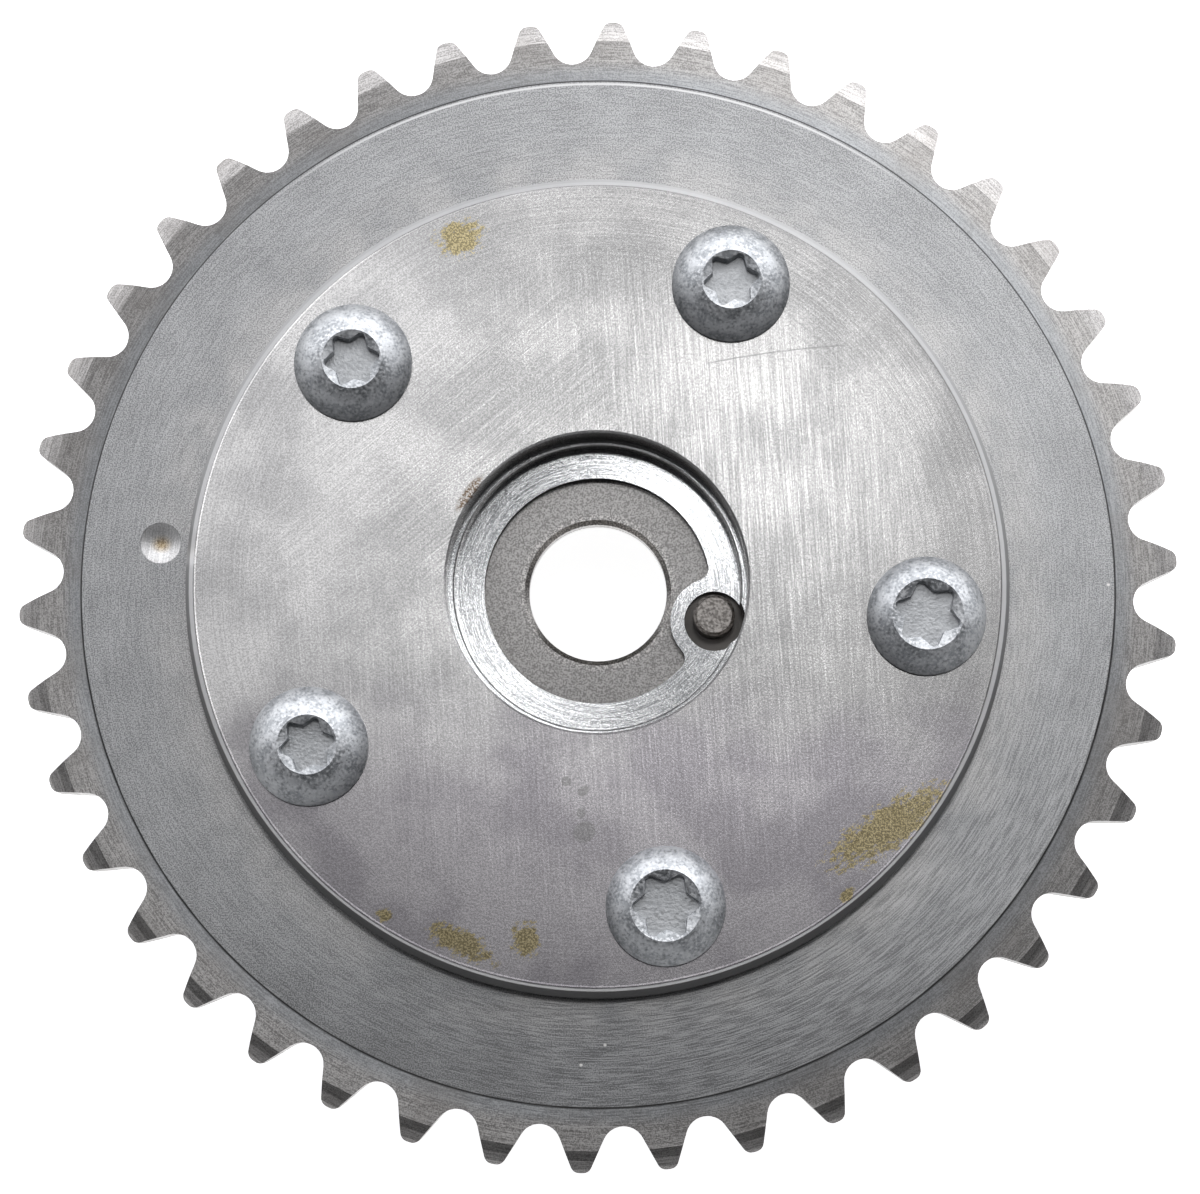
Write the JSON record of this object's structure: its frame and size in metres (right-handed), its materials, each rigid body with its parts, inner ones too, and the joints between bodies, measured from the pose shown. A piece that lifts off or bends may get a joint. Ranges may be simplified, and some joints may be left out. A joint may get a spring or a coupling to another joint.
{
  "type": "cam phaser",
  "caption": "Vane-type cam phaser: a chain sprocket housing with a screwed-on cover, a rotor that swings inside it, and a hub that takes a camshaft's nose.",
  "frame": {"origin": "centre of the far cover's outer face, on the axis", "axes": "+Z along the axis towards the camshaft, +X to the right and +Y up as the picture shows it"},
  "size_m": [0.1116, 0.1118, 0.0296],
  "materials": {
    "sintered_steel": "sintered, turned on the annulus",
    "ground_steel": "ground",
    "zinc_flake": "matt zinc flake coat",
    "sintered_rotor": "sintered, with a polished ledge",
    "hardened_steel": "ground",
    "spring_steel": "bright",
    "seal_polymer": "matt"
  },
  "bodies": {
    "housing": {"sprocket_housing": "sintered_steel", "cam_side_cover": "ground_steel", "front_cover": "ground_steel", "lock_bush": "hardened_steel", "screw_1": "zinc_flake", "screw_2": "zinc_flake", "screw_3": "zinc_flake", "screw_4": "zinc_flake", "screw_5": "zinc_flake", "lobe_seal_1": "seal_polymer", "lobe_seal_2": "seal_polymer", "lobe_seal_3": "seal_polymer", "lobe_seal_4": "seal_polymer", "lobe_seal_5": "seal_polymer", "lobe_seal_spring_1": "spring_steel", "lobe_seal_spring_2": "spring_steel", "lobe_seal_spring_3": "spring_steel", "lobe_seal_spring_4": "spring_steel", "lobe_seal_spring_5": "spring_steel"},
    "rotor": {"rotor": "sintered_rotor", "cam_locating_pin": "hardened_steel", "lock_spring": "spring_steel", "lock_spring_seat": "hardened_steel", "vane_seal_1": "seal_polymer", "vane_seal_2": "seal_polymer", "vane_seal_3": "seal_polymer", "vane_seal_4": "seal_polymer", "vane_seal_5": "seal_polymer", "vane_seal_spring_1": "spring_steel", "vane_seal_spring_2": "spring_steel", "vane_seal_spring_3": "spring_steel", "vane_seal_spring_4": "spring_steel", "vane_seal_spring_5": "spring_steel"},
    "lock_pin": {"lock_pin": "hardened_steel"}
  },
  "joints": [
    {"name": "rotor_turn", "type": "hinge", "parent": "housing", "child": "rotor", "pos_m": [0, 0, 0.014], "axis": [0, 0, 1], "range_deg": [0, 20]},
    {"name": "lock_pin_slide", "type": "slide", "parent": "rotor", "child": "lock_pin", "axis": [0, 0, 1], "range_m": [0, 0.0015], "stiffness_N_per_m": 1000, "springref_m": -0.004, "deforming": ["lock_spring"]}
  ]
}
